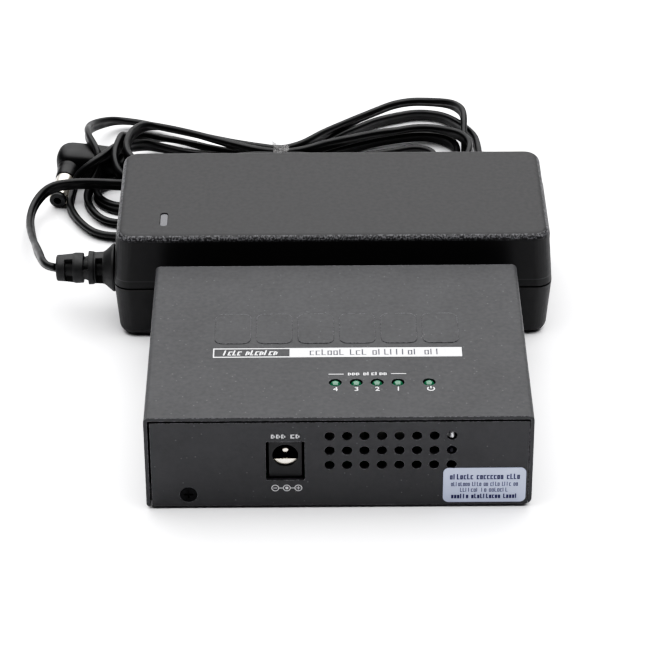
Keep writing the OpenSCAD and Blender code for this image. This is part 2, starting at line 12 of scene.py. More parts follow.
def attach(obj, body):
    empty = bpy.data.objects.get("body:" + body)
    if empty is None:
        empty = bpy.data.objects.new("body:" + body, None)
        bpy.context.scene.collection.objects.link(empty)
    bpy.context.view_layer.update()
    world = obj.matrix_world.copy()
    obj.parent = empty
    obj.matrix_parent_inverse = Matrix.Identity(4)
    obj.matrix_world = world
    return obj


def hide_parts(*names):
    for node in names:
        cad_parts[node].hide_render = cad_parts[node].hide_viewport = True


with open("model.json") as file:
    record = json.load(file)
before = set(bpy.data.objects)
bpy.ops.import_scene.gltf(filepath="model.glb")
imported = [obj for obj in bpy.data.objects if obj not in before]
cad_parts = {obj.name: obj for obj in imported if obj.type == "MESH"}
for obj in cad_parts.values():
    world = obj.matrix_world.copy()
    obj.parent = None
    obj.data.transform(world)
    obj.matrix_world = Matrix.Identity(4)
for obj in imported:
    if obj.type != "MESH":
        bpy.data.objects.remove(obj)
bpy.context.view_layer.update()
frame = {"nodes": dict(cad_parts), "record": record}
NODES = frame["nodes"]
MM = 0.001

# ---------- camera ----------

CAMERA_AT = (-4.568, -662.213, 427.381)     # mm
CAMERA_YAW = 0.19551                        # degrees
CAMERA_PITCH = 32.00185
CAMERA_ROLL = -0.26352
CAMERA_LENS = 160.906                       # mm on a 36 mm sensor


def make_camera():
    yaw, pitch, roll = (math.radians(a) for a in (CAMERA_YAW, CAMERA_PITCH, CAMERA_ROLL))
    ahead = Vector((math.sin(yaw) * math.cos(pitch), math.cos(yaw) * math.cos(pitch), -math.sin(pitch)))
    level = Vector((math.cos(yaw), -math.sin(yaw), 0))
    above = level.cross(ahead)
    right = level * math.cos(roll) + above * math.sin(roll)
    up = above * math.cos(roll) - level * math.sin(roll)
    data = bpy.data.cameras.new("camera")
    data.sensor_width = 36
    data.lens = CAMERA_LENS
    data.clip_start = 0.01
    data.clip_end = 20
    camera = bpy.data.objects.new("camera", data)
    camera.matrix_world = Matrix.Translation(Vector(CAMERA_AT) * MM) @ Matrix(
        (right, up, -ahead)).transposed().to_4x4()
    bpy.context.scene.collection.objects.link(camera)
    bpy.context.scene.camera = camera


make_camera()

# ---------- cord ----------

# The lead's middle line in mm, and how far its upper edge leans in degrees: towards the front,
# or to the left where that is negative. The first eleven points are part.scad's lead_route.
LEAD_ROUTE = [
    # from the strain relief to the tie
    (-76, 26.5, 16.1, 50), (-78, 27.6, 15.9, 50), (-80.2, 31.4, 15, 40), (-82, 39, 12.8, 15),
    (-84.3, 50, 9.4, -10), (-86.4, 61.5, 6.4, -20), (-87.7, 71, 4.6, -15), (-87.9, 78.5, 4.4, 5),
    (-86.2, 83.8, 5.8, 15), (-83, 86.4, 7.8, 20), (-77.6, 87.2, 8.6, 20),
    (-72.5, 88.2, 8.3, 20), (-67.5, 88.6, 7.9, 20), (-62.5, 88.5, 7.6, 15), (-52, 88.5, 7.2, 5),
    (-42, 91.5, 7, 0), (-30, 99, 7, 0),
    (-20, 103, 7.2, 0), (-15, 102.8, 7.2, 0),
    # right lobe, outermost loop
    (-10, 103.5, 7, 0), (-2, 102, 5, 0), (8, 98, 2.6, 0), (20, 96, 2.4, 0), (31, 99.5, 2.4, 0),
    (37.5, 106, 2.4, 0), (40.5, 113, 2.4, 0), (41, 120, 2.6, 0), (41, 126, 4.4, 0),
    (41.3, 132, 7, 10), (40, 138, 6.4, 20), (37, 142.5, 5.6, 35), (32, 145.5, 4.6, 40),
    (26, 147, 4, 40), (20, 145.4, 3.8, 40), (14, 140.3, 4, 40), (8, 134.5, 4.4, 40),
    (2, 127.4, 5.2, 30), (-4, 119.4, 6.2, 10), (-9, 112.5, 7, 0), (-15, 109.4, 7.2, 0),
    # left lobe, outermost loop
    (-21, 111.5, 6.8, 10), (-28, 116, 6, 40), (-36, 122.5, 4.6, 55), (-44, 128.5, 3.4, 58),
    (-52, 133.5, 2.6, 58), (-57.5, 136.2, 2.6, 58), (-62.7, 137.4, 2.8, 55),
    (-66.6, 136.2, 3.6, 45), (-70.2, 131.5, 5.4, 30), (-73, 125.5, 7.4, 15), (-73.6, 118, 10, 5),
    (-73.2, 111.5, 12, 0), (-71.8, 106, 12.4, 0), (-69.8, 102.4, 11, 0), (-69.2, 100, 8.4, 0),
    (-70.2, 97, 5.4, 0),
    (-72, 94.5, 3, 0), (-72.6, 90, 2.1, 0), (-71.6, 85.3, 2, 15), (-70.2, 82.1, 1.9, 30),
    (-68.3, 79.2, 1.8, 45), (-66, 77.4, 1.7, 55), (-62.5, 76.4, 1.6, 58), (-57, 76.3, 1.7, 45),
    (-50, 78, 2.1, 10),
    (-40, 84, 2.4, 0), (-30, 94, 3.6, 0), (-21, 100, 6, 0), (-15, 100.6, 7.2, 0),
    # right lobe, on top
    (-9, 101.5, 6.4, 0), (0, 97, 4, 0), (10, 93, 2.4, 0), (20, 92, 2.4, 0), (30, 94, 2.4, 0),
    (37, 99.5, 4, 0), (41, 106, 6, 0), (42.3, 113, 6.6, 0), (40.8, 118, 6.6, 10),
    (37.5, 122, 6.4, 30), (31.5, 125, 6.4, 50), (25.6, 125.5, 6.2, 50), (19.8, 123.5, 6.2, 50),
    (14, 121.5, 6.4, 40), (6.3, 118, 6.4, 30), (-1.4, 114, 6.6, 10), (-8, 109.5, 6.8, 0),
    (-15, 107.2, 7.2, 0),
    # left lobe, on top
    (-22, 109, 7.2, 10), (-29, 112.5, 7.6, 40), (-36, 116, 8, 50), (-43.5, 118.5, 9, 58),
    (-51, 118.5, 10.8, 58), (-56, 116.5, 12.2, 40), (-59, 110.5, 13.6, 0), (-60.5, 104, 14.2, 0),
    (-60.8, 97.5, 13.6, 0), (-57.5, 93, 12, 0), (-51, 92.5, 10.6, 0), (-42, 96.5, 9, 0),
    (-32, 102, 8, 0), (-23, 105.5, 7.2, 0), (-15, 105, 7.2, 0),
    # right lobe, innermost
    (-8, 106.5, 6.4, 0), (1, 107, 4, 0), (10, 104.5, 2.4, 0), (19, 104, 2.2, 0),
    (27, 106, 2.2, 0), (31.5, 110.5, 2.2, 0), (31, 115.5, 2.4, 0), (26.5, 117.5, 2.8, 0),
    (19, 116, 2.4, 0), (9, 113, 2.4, 0), (-2, 109.5, 2.6, 0), (-9, 106.5, 2.8, 0),
    (-15, 105, 2.8, 0),
    # left lobe, innermost
    (-24, 107, 2.6, 0), (-36, 107, 2.4, 0), (-48, 104, 2.2, 0), (-58, 101, 2.2, 0),
    (-65.5, 100, 2.2, 0), (-69, 97.5, 2.2, 0), (-70, 92.5, 2.2, 0), (-68.3, 88, 2.2, 0),
    (-65.5, 85, 2.2, 0), (-62, 83.5, 2.2, 0), (-55, 83, 2.2, 0), (-46, 86.5, 2.4, 0),
    (-36, 94.5, 2.4, 0), (-26, 101, 2.6, 0), (-19, 103, 2.8, 0), (-15, 102.8, 2.8, 0),
    # right lobe, inner
    (-9, 104, 2.8, 0), (0, 103, 2.4, 0), (10, 100.5, 2.2, 0), (20, 100, 2.2, 0),
    (29, 102.5, 2.2, 0), (35.5, 107.5, 2.2, 0), (38.2, 113, 2.2, 0), (38.6, 119.5, 2.2, 0),
    (37, 123.5, 2.2, 0), (33, 126.5, 2.2, 20), (27, 127.5, 2.2, 30), (20, 126, 2.2, 30),
    (14, 124, 2.2, 30), (8, 121, 2.2, 20), (1, 117.5, 2.4, 10), (-6, 112, 2.8, 0),
    (-15, 107.2, 2.8, 0),
    # left lobe, over the plug and along the floor
    (-22, 109.5, 2.8, 0), (-30, 113, 2.6, 0), (-38, 115, 2.4, 10), (-44, 116.5, 2.6, 20),
    (-49, 118.5, 3, 30), (-53, 119, 3.8, 30), (-56.5, 117.5, 5.2, 20), (-60.4, 111, 8.4, 0),
    (-63.7, 105, 11, 0), (-66.8, 99.8, 11.6, 20), (-69.4, 97.3, 11.2, 45), (-71.8, 96.2, 10.2, 55),
    (-74.2, 95.9, 8.2, 50), (-75.7, 95.4, 6.2, 30), (-76.5, 93.6, 4.4, 10), (-77, 90.8, 3, 0),
    (-77.4, 87.6, 2.2, 0), (-77.3, 84.9, 2, 0), (-76.3, 81.7, 1.9, 15), (-74.8, 78.3, 1.8, 30),
    (-72.7, 75.1, 1.7, 45), (-70, 71.7, 1.65, 55), (-67, 69.8, 1.6, 58), (-63, 68.8, 1.6, 58),
    (-58, 68.8, 1.7, 50), (-52, 70.5, 2, 20), (-44, 74.5, 2.2, 0), (-34, 84.5, 2.2, 0), (-25, 94, 2.4, 0),
    (-19, 99.5, 2.8, 0), (-15, 100.6, 2.8, 0),
    # right lobe, outer on the floor
    (-9, 100.5, 2.8, 0), (0, 96, 2.4, 0), (10, 90.5, 2.4, 0), (20, 88.5, 2.2, 0),
    (30, 89.5, 2.2, 0), (38, 94.5, 2.2, 0), (43, 103, 2.2, 0), (45, 112, 2.2, 0),
    (45, 120, 2.2, 0), (44.3, 126, 2.2, 0), (42, 131, 2.2, 0), (38.5, 136.5, 2.2, 10),
    (34, 140.5, 2.2, 20), (27, 141.8, 2.2, 20), (20, 139.5, 2.2, 20), (14, 136.6, 2.2, 20),
    (8.5, 132, 2.2, 20), (3, 127.5, 2.2, 20), (-4, 120, 2.4, 10), (-10, 113, 2.8, 0),
    (-15, 109.4, 2.8, 0),
    # left lobe, and back to the plug
    (-22, 112, 2.8, 0), (-29, 115.5, 2.8, 20), (-36, 118.5, 3, 40), (-42, 122, 3, 55),
    (-48, 124.5, 3.2, 58), (-53.5, 123.5, 4.4, 50), (-58, 119.5, 6.8, 20), (-61, 113.5, 9.8, 0),
    (-62.8, 107, 12.6, 0), (-64, 100.5, 13, 0), (-64.3, 95.5, 11.6, 0), (-62.5, 91.5, 9, 0),
    (-57.5, 90, 6, 0), (-51.5, 91, 5, 0), (-47, 95.5, 6, 0), (-47.3, 99.8, 7.8, 0),
    (-50.5, 102.9, 7.8, 0), (-55.5, 104.1, 6.6, 0), (-62.6, 104, 5.8, 0),
]
LEAD_LOBE = 1              # radius of each of its two round lobes
LEAD_STEP = 2.5            # spacing of the points that settle
LEAD_GROOVE = 0.72         # half thickness between the lobes
TIE_X = -15
TIE_HALF = 2.6
SETTLE_ROUNDS = 160
HOME_SHARE = 0.08          # how much of its way home a point goes in each round
BEND_SHARE = 0.05          # how much of a kink goes
PUSH_SHARE = 0.7           # how much of an overlap goes
LOBE_GAP = 0.08            # between lobes that touch
FLOOR_GAP = 0.05
LOOK_EVERY = 5             # rounds between two looks for near points
NEIGHBOURS = 5             # points along the lead that don't count as another turn
ENDS_HELD = 3


def walk(points, step):
    """Points a step apart along a smooth curve through the given ones."""
    given = np.array(points, float)
    ends = np.vstack([2 * given[0] - given[1], given, 2 * given[-1] - given[-2]])
    dense = []
    for a, b, c, d in zip(ends, ends[1:], ends[2:], ends[3:]):
        count = max(2, math.ceil(np.linalg.norm((c - b)[:3]) / step))
        t = np.arange(count)[:, None] / count
        dense.append(b + 0.5 * ((c - a) * t + (2 * a - 5 * b + 4 * c - d) * t ** 2
                                + (3 * b - a - 3 * c + d) * t ** 3))
    dense = np.vstack(dense + [given[-1:]])
    along = np.r_[0, np.cumsum(np.linalg.norm(np.diff(dense[:, :3], axis=0), axis=1))]
    at = np.linspace(0, along[-1], round(along[-1] / step) + 1)
    return np.stack([np.interp(at, along, column) for column in dense.T], axis=1)


def unit(vectors):
    return vectors / np.linalg.norm(vectors, axis=1)[:, None]


def start_rails(line):
    """The middles of the lead's two lobes, upper then lower, for a line of x, y, z and lean."""
    middle, lean = line[:, :3], np.radians(line[:, 3])
    ahead = unit(np.gradient(middle, axis=0))
    wide = np.stack([np.minimum(np.sin(lean), 0), -np.maximum(np.sin(lean), 0), np.cos(lean)], axis=1)
    wide = unit(wide - ahead * (wide * ahead).sum(1)[:, None])
    return middle + wide * LEAD_LOBE, middle - wide * LEAD_LOBE


def settle(line):
    """Lets turns that touch push apart, and rest on the floor, near where they were."""
    count = len(line)
    points = np.vstack(start_rails(line))
    home = points.copy()
    first = np.r_[np.arange(count - 1), count + np.arange(count - 1)]
    rest = np.linalg.norm(points[first + 1] - points[first], axis=1)[:, None]
    order = np.tile(np.arange(count), 2)
    ends = (order < ENDS_HELD) | (order >= count - ENDS_HELD)
    held = ends | (np.abs(np.tile(line[:, 0], 2) - TIE_X) < TIE_HALF)
    free = (~held)[:, None].astype(float)
    apart = 2 * LEAD_LOBE + LOBE_GAP

    def pull(i, j, wanted, share):
        gap = points[j] - points[i]
        size = np.maximum(np.linalg.norm(gap, axis=1)[:, None], 1e-6)
        move = 0.5 * share * (size - wanted) * gap / size
        np.add.at(points, i, move * free[i])
        np.add.at(points, j, -move * free[j])

    for turn in range(SETTLE_ROUNDS):
        points += HOME_SHARE * (home - points) * free
        for rail in (points[:count], points[count:]):
            bend = 0.5 * (rail[:-2] + rail[2:]) - rail[1:-1]
            rail[1:-1] += BEND_SHARE * bend * free[1:count - 1]
        pull(np.arange(count), count + np.arange(count), 2 * LEAD_LOBE, 1)
        pull(first, first + 1, rest, 1)
        if turn % LOOK_EVERY == 0:
            near = ((points[:, None] - points[None]) ** 2).sum(2) < (2 * apart) ** 2
            i, j = np.nonzero(np.triu(near))
            other = np.abs(order[i] - order[j]) > NEIGHBOURS
            i, j = i[other], j[other]
        hit = np.linalg.norm(points[j] - points[i], axis=1) < apart
        pull(i[hit], j[hit], apart, PUSH_SHARE)
        points[:, 2] = np.maximum(points[:, 2], LEAD_LOBE + FLOOR_GAP)
    return points[:count], points[count:]


def twin_section():
    """Outline of the twin lead: (along its width, across it), in mm, with a groove on each side."""
    arc = [math.radians(a) for a in range(-120, 121, 20)]
    top = [(LEAD_LOBE + LEAD_LOBE * math.cos(a), LEAD_LOBE * math.sin(a)) for a in arc]
    low = [(-w, -s) for w, s in top]
    return top + [(0, LEAD_GROOVE)] + low + [(0, -LEAD_GROOVE)]


def new_object(name, mesh):
    thing = bpy.data.objects.new(name, mesh)
    bpy.context.scene.collection.objects.link(thing)
    return thing


def mesh_from(name, points, faces, smooth=True):
    """A mesh object from points in mm."""
    mesh = bpy.data.meshes.new(name)
    mesh.from_pydata([tuple(c * MM for c in p) for p in points], [], faces)
    mesh.validate()
    mesh.update()
    if smooth:
        mesh.polygons.foreach_set("use_smooth", [True] * len(mesh.polygons))
    return new_object(name, mesh)


def swept(name, upper, lower):
    """The twin lead as a tube of rings between its two rails."""
    section = np.array(twin_section())
    middle = (upper + lower) / 2
    ahead = unit(np.gradient(middle, axis=0))
    wide = unit(upper - lower)
    across = unit(np.cross(ahead, wide))
    rings = (middle[:, None] + wide[:, None] * section[None, :, :1]
             + across[:, None] * section[None, :, 1:])
    sides = len(section)
    faces = [list(range(sides))[::-1], [(len(rings) - 1) * sides + k for k in range(sides)]]
    for i in range(len(rings) - 1):
        for k in range(sides):
            a, b = i * sides + k, i * sides + (k + 1) % sides
            faces.append((a, b, b + sides, a + sides))
    return mesh_from(name, rings.reshape(-1, 3), faces), middle


def tidy_mesh(thing):
    """Welds points that coincide and turns every face outwards."""
    work = bmesh.new()
    work.from_mesh(thing.data)
    bmesh.ops.remove_doubles(work, verts=work.verts, dist=1e-7)
    bmesh.ops.dissolve_degenerate(work, edges=work.edges, dist=1e-8)
    bmesh.ops.recalc_face_normals(work, faces=work.faces)
    work.to_mesh(thing.data)
    work.free()


settled = settle(walk(LEAD_ROUTE, LEAD_STEP))
fine = walk(np.hstack([(settled[0] + settled[1]) / 2, *settled]), LEAD_STEP / 2)
lead, lead_middle = swept("lead", fine[:, 3:6], fine[:, 6:9])

# ---------- materials ----------

BEVEL_SAMPLES = 6
NOISE_SPAN = (0.3, 0.7)                     # nearly all values of a noise
START_SOFT, END_SOFT = 0.1, 0.03            # how softly a mask by normal begins and ends
LINE_AT = 18.45                             # faint moulding line round the adapter, painted as a pale highlight, in mm
LINE_HALF = 0.1
LINE_SOFT = 0.05
CASE_GREY = (0.039, 0.0392, 0.0415)
CASE_LEVEL_SHADE = (0.02, 0.02, 0.022)            # painted shade, mixed in where it lies level
CASE_CLOUD = (0.07, 0.071, 0.075)
CASE_FLECK = (0.3, 0.3, 0.31)
# worn paint and a painted highlight on rounded edges
CASE_WORN_AND_HIGHLIGHT = (0.34, 0.34, 0.36)
FLECK_PITCH = 2.1                           # mm
BRICK_BLACK = (0.0135, 0.0132, 0.0142)
# painted glint on upper edges
BRICK_PAINTED_GLINT = (0.19, 0.19, 0.2)
BRICK_SIDE_SHADE = (0.006, 0.006, 0.0065)         # painted shade, mixed in where it stands upright
# painted highlight along the moulding line
BRICK_LINE_HIGHLIGHT = (0.08, 0.08, 0.085)
FILM_CLEAR = (0.2, 0.195, 0.195)
FILM_CLOUD = (0.1, 0.1, 0.1)
RELIEF_BLACK = (0.012, 0.012, 0.0125)


class Finish:
    """A node material, with the steps that several finishes share."""

    def __init__(self, name, color, roughness, specular, metallic=0.0):
        self.material = bpy.data.materials.new(name)
        self.material.use_nodes = True
        self.material.diffuse_color = (*color, 1)
        self.tree = self.material.node_tree
        self.shader = self.tree.nodes["Principled BSDF"]
        self.color = self.tree.nodes.new("ShaderNodeRGB").outputs[0]
        self.color.default_value = (*color, 1)
        self.put("Roughness", roughness)
        self.put("Specular IOR Level", specular)
        self.put("Metallic", metallic)
        self.where = self.tree.nodes.new("ShaderNodeTexCoord").outputs["Object"]
        self.normal = None
        self.join(self.color, "Base Color")

    def put(self, socket, value):
        self.shader.inputs[socket].default_value = value

    def join(self, output, socket):
        self.tree.links.new(output, self.shader.inputs[socket])

    def node(self, kind, **inputs):
        made = self.tree.nodes.new("ShaderNode" + kind)
        for name, value in inputs.items():
            socket = made.inputs[name]
            if isinstance(value, bpy.types.NodeSocket):
                self.tree.links.new(value, socket)
            else:
                socket.default_value = value
        return made

    def noise(self, size, detail):
        """Cloudy noise whose features are about size mm across."""
        return self.node("TexNoise", Vector=self.where, Scale=1 / (size * MM), Detail=detail).outputs["Fac"]

    def between(self, value, low, high, to_low=0.0, to_high=1.0):
        """The value with its span from low to high brought to another span, and cut off there."""
        made = self.node("MapRange", Value=value)
        for socket, number in zip(("From Min", "From Max", "To Min", "To Max"), (low, high, to_low, to_high)):
            made.inputs[socket].default_value = number
        return made.outputs["Result"]

    def share(self, mask, amount):
        """A mask from 0 to 1, brought down to 0 to this amount."""
        return self.between(mask, 0, 1, 0, amount)

    def tint(self, share, other):
        """Mixes another colour in, by a share from 0 to 1."""
        made = self.tree.nodes.new("ShaderNodeMix")
        made.data_type = "RGBA"
        self.tree.links.new(share, made.inputs["Factor"])
        self.tree.links.new(self.color, made.inputs[6])
        made.inputs[7].default_value = (*other, 1)
        self.color = made.outputs[2]
        self.join(self.color, "Base Color")

    def rounded(self, radius):
        """Edges shade as if rounded to this radius in mm."""
        made = self.node("Bevel", Radius=radius * MM)
        made.samples = BEVEL_SAMPLES
        self.normal = made.outputs["Normal"]
        self.join(self.normal, "Normal")

    def edges(self, low, high):
        """From 0 on flat faces to 1 on edges, by how far the rounded normal leans over."""
        flat = self.tree.nodes.new("ShaderNodeNewGeometry").outputs["True Normal"]
        made = self.tree.nodes.new("ShaderNodeVectorMath")
        made.operation = "DOT_PRODUCT"
        self.tree.links.new(self.normal, made.inputs[0])
        self.tree.links.new(flat, made.inputs[1])
        return self.between(made.outputs["Value"], 1 - low, 1 - high)

    def upward(self, start, end):
        """1 where the normal's upward part is between these, from -1 for down to 1 for up."""
        flat = self.tree.nodes.new("ShaderNodeNewGeometry").outputs["Normal"]
        rise = self.node("SeparateXYZ", Vector=flat).outputs["Z"]
        return self.product(self.between(rise, start - START_SOFT, start + START_SOFT),
                            self.between(rise, end + END_SOFT, end - END_SOFT))

    def product(self, one, other):
        made = self.tree.nodes.new("ShaderNodeMath")
        made.operation = "MULTIPLY"
        self.tree.links.new(one, made.inputs[0])
        self.tree.links.new(other, made.inputs[1])
        return made.outputs["Value"]

    def bump(self, height, depth, strength):
        """Relief of this depth in mm, from a value from 0 to 1."""
        made = self.node("Bump", Height=height, Distance=depth * MM, Strength=strength)
        if self.normal:
            self.tree.links.new(self.normal, made.inputs["Normal"])
        self.normal = made.outputs["Normal"]
        self.join(self.normal, "Normal")

    def gloss(self, value, low, high):
        """Roughness that follows a value from 0 to 1; ends a finish."""
        self.join(self.between(value, *NOISE_SPAN, low, high), "Roughness")
        return self


def painted_steel():
    """Dark grey paint with painted shade where it lies level, pale flecks, pimples, and worn edges that carry
    a painted highlight.
    """
    made = Finish("case_paint", CASE_GREY, 0.5, 0.4)
    # painted shade: faces that lie level are darkened to tone down the overhead light on them
    made.tint(made.share(made.upward(0.9, 1.1), 0.6), CASE_LEVEL_SHADE)
    made.tint(made.between(made.noise(14, 2), 0.35, 0.65, 0, 0.12), CASE_CLOUD)
    flecks = made.node("TexVoronoi", Vector=made.where, Scale=1 / (FLECK_PITCH * MM))
    made.tint(made.between(flecks.outputs["Distance"], 0.12, 0.04, 0, 0.22), CASE_FLECK)
    made.rounded(0.3)
    # worn paint on the edges, with a painted highlight where they catch the light
    worn = made.product(made.edges(0.01, 0.12), made.between(made.noise(0.7, 2), 0.42, 0.58))
    made.tint(made.share(worn, 0.5), CASE_WORN_AND_HIGHLIGHT)
    made.bump(made.noise(0.4, 2), 0.018, 0.5)
    made.bump(made.between(made.noise(2.3, 1), 0.63, 0.74), 0.03, 0.6)
    return made.gloss(made.noise(1.2, 3), 0.44, 0.58)


def brick_plastic():
    """Black moulded plastic with painted glints on its upper edges, painted shade on its upright faces and a
    painted highlight as a pale line round its upper shell.
    """
    made = Finish("adapter_plastic", BRICK_BLACK, 0.48, 0.4)
    grain = made.noise(0.38, 2)
    # painted glints: pale specks on faces that lean upwards
    painted_glint = made.product(made.upward(0.3, 0.84), made.between(made.noise(0.5, 2), 0.44, 0.62))
    made.tint(made.share(painted_glint, 0.7), BRICK_PAINTED_GLINT)
    # painted shade on upright faces
    made.tint(made.share(made.upward(-0.2, 0.3), 0.4), BRICK_SIDE_SHADE)
    # painted highlight: a pale line at the moulding line's height
    height = made.node("SeparateXYZ", Vector=made.where).outputs["Z"]
    outer, inner = (LINE_HALF + LINE_SOFT) * MM, (LINE_HALF - LINE_SOFT) * MM
    line = made.product(made.between(height, LINE_AT * MM - outer, LINE_AT * MM - inner),
                        made.between(height, LINE_AT * MM + outer, LINE_AT * MM + inner))
    made.tint(made.share(line, 0.35), BRICK_LINE_HIGHLIGHT)
    made.rounded(0.3)
    made.bump(grain, 0.012, 0.4)
    return made.gloss(made.noise(1.2, 2), 0.45, 0.53)


def clear_film():
    """Creased see-through film, cloudier in places."""
    made = Finish("tie_plastic", FILM_CLEAR, 0.35, 0.5)
    made.tint(made.between(made.noise(1.5, 2), 0.4, 0.6, 0, 0.6), FILM_CLOUD)
    made.join(made.between(made.noise(1.1, 2), 0.35, 0.65, 0.2, 0.5), "Alpha")
    return made


def moulded(name, color, roughness, grain=0.5, depth=0.03, edge=0.25, specular=0.4):
    """Plastic, rubber or paper with a fine grain of this size and depth in mm."""
    made = Finish(name, color, roughness, specular)
    made.tint(made.between(made.noise(9, 3), 0.35, 0.65, 0, 0.3), tuple(c * 1.25 for c in color))
    made.rounded(edge)
    made.bump(made.noise(grain, 2), depth, 0.6)
    return made.gloss(made.noise(grain * 2.5, 2), roughness - 0.06, roughness + 0.08)


def metal(name, color, roughness, edge=0.1, depth=0.008):
    """Bare or plated metal, slightly cloudy."""
    made = Finish(name, color, roughness, 0.5, 1)
    made.tint(made.between(made.noise(3, 3), 0.4, 0.7, 0, 0.3), tuple(c * 0.75 for c in color))
    made.rounded(edge)
    made.bump(made.noise(0.4, 2), depth, 0.3)
    return made.gloss(made.noise(1.1, 3), roughness * 0.8, roughness * 1.5)


FINISHES = {
    "case_paint": painted_steel(),
    "black_screw": metal("black_screw", (0.02, 0.02, 0.021), 0.38),
    "foot_rubber": moulded("foot_rubber", (0.02, 0.02, 0.02), 0.75),
    "label": moulded("label", (0.5, 0.54, 0.65), 0.45, 0.3, 0.004, 0.05),
    "board": moulded("board", (0.01, 0.1, 0.04), 0.35, 1.5, 0.01, 0.1),
    "paper_board": moulded("paper_board", (0.3, 0.19, 0.07), 0.6, 1.5, 0.02, 0.1),
    "steel": metal("steel", (0.6, 0.6, 0.6), 0.3),
    "black_plastic": moulded("black_plastic", (0.014, 0.014, 0.015), 0.42, 0.8, 0.01),
    "white_plastic": moulded("white_plastic", (0.7, 0.7, 0.67), 0.45, 0.8, 0.01),
    "contact_metal": metal("contact_metal", (0.78, 0.74, 0.67), 0.26, 0.2, 0.002),
    "gold_contact": metal("gold_contact", (0.85, 0.58, 0.2), 0.2),
    "lamp_lens": moulded("lamp_lens", (0.008, 0.1, 0.05), 0.1, 2, 0.002, 0.2, 0.9),
    "sleeve": moulded("sleeve", (0.02, 0.02, 0.06), 0.2, 2, 0.005),
    "aluminium": metal("aluminium", (0.72, 0.72, 0.73), 0.28),
    "ferrite": moulded("ferrite", (0.03, 0.03, 0.032), 0.7, 0.6, 0.05),
    "copper": metal("copper", (0.6, 0.24, 0.08), 0.3),
    "fuse_coat": moulded("fuse_coat", (0.62, 0.36, 0.03), 0.4, 1.2, 0.05),
    "tape": moulded("tape", (0.65, 0.48, 0.06), 0.3, 3, 0.01),
    "adapter_plastic": brick_plastic(),
    "lamp_window": moulded("lamp_window", (0.07, 0.07, 0.077), 0.2, 2, 0.003, 0.1, 0.7),
    "lead_rubber": moulded("lead_rubber", (0.004, 0.004, 0.0045), 0.4, 1.6, 0.02, 0.1, 0.35),
    "tie_plastic": clear_film(),
}


def paint(thing, slot):
    """Gives a piece its slot's finish."""
    thing.data.materials.clear()
    thing.data.materials.append(FINISHES[slot].material)


def dress(thing, slot, body, *nodes):
    """A finished piece: its slot, its body and the CAD nodes that it stands for."""
    paint(thing, slot)
    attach(thing, body)
    if nodes:
        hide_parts(*nodes)
    return thing


NODE_SLOTS = {part["node"]: part["material_slot"] for part in frame["record"]["subparts"]}
for node_name, node in NODES.items():
    for index in range(len(node.material_slots)):
        node.material_slots[index].material = FINISHES[NODE_SLOTS[node_name]].material

dress(lead, "lead_rubber", "power_adapter", "lead_start", "lead_hank")

# ---------- strain relief and plug ----------

strokes = np.random.default_rng(7)

RELIEF_AT = (-59.9, 26.5, 16.15)            # middle of its foot on the adapter's end
# outline as (distance from the adapter, radius); the first three points are inside its wall
RELIEF_OUTLINE = ((-1, 0), (-1, 3.4), (0.05, 3.4), (0.06, 6.5), (0.25, 6.65), (0.8, 6.5), (1.8, 5.6),
                  (2.6, 4.9), (3.2, 4.5), (5.6, 4.35), (6.1, 4.6), (7.2, 4.65), (7.6, 4.45), (8.6, 4.1),
                  (9.1, 4.2), (11, 4.25), (11.7, 4.05), (13.9, 3.8), (14.3, 3.75), (15.8, 3.65),
                  (16.15, 3.5), (16.3, 3.2), (16.3, 0))
RELIEF_FOOT = 3
RELIEF_CORE = 2.3
# each slot's start and end, and the directions in which a web crosses it: up and down, or sideways
RELIEF_SLOTS = ((3.4, 5.3, True), (7.4, 8.8, False), (11.7, 13.9, True))
WEB_HALF = {True: 24, False: 20}            # half the angle that a web covers, in degrees
WALL = 0.06                                 # a slot's wall leans by this much
RELIEF_STEP = 6                             # degrees between its points
WEB_EDGE = 0.5                              # degrees that a web's edge takes


def in_slot(along, angle):
    """Whether a place on the outline lies in a slot; the angle is from straight up, in degrees."""
    for start, end, upright in RELIEF_SLOTS:
        if start < along < end:
            off = angle % 180 if upright else (angle + 90) % 180
            return min(off, 180 - off) > WEB_HALF[upright]
    return False


def relief_angles():
    """Even steps round it, and places close to both sides of each web's edges."""
    edges = [(middle + side * half) % 360 for side in (-1, 1)
             for middle, half in ((0, WEB_HALF[True]), (180, WEB_HALF[True]),
                                  (90, WEB_HALF[False]), (270, WEB_HALF[False]))]
    nudged = ((edge + nudge) % 360 for edge in edges for nudge in (-WEB_EDGE, WEB_EDGE))
    return sorted({*range(0, 360, RELIEF_STEP), *nudged})


def make_relief():
    """A ribbed sleeve round the lead's way out, with slots down to its core."""
    along, radii = zip(*RELIEF_OUTLINE[RELIEF_FOOT:-2])
    stops = set(along)
    for start, end, _ in RELIEF_SLOTS:
        stops |= {start, start + WALL, end - WALL, end}
    rings = [*RELIEF_OUTLINE[:RELIEF_FOOT], *((s, float(np.interp(s, along, radii))) for s in sorted(stops)),
             *RELIEF_OUTLINE[-2:]]
    angles = relief_angles()
    points, faces = [], []
    for s, radius in rings:
        for angle in angles:
            reach = min(radius, RELIEF_CORE) if in_slot(s, angle) else radius
            points.append((RELIEF_AT[0] - s, RELIEF_AT[1] + reach * math.sin(math.radians(angle)),
                           RELIEF_AT[2] + reach * math.cos(math.radians(angle))))
    count = len(angles)
    for i in range(len(rings) - 1):
        for k in range(count):
            a, b = i * count + k, i * count + (k + 1) % count
            faces.append((a, b, b + count, a + count))
    relief = mesh_from("bend_relief", points, faces, smooth=False)
    tidy_mesh(relief)
    dress(relief, "lead_rubber", "power_adapter", "strain_relief")
    matt = moulded("relief_rubber", RELIEF_BLACK, 0.55, 0.7, 0.02)
    relief.data.materials[0] = matt.material


make_relief()

PLUG_AT = (-77.7, 106.6, 5.7)               # where its barrel's axis meets its head's
PLUG_TURN = (8.5, 0, -10)                   # degrees, as part.scad's plug_turn
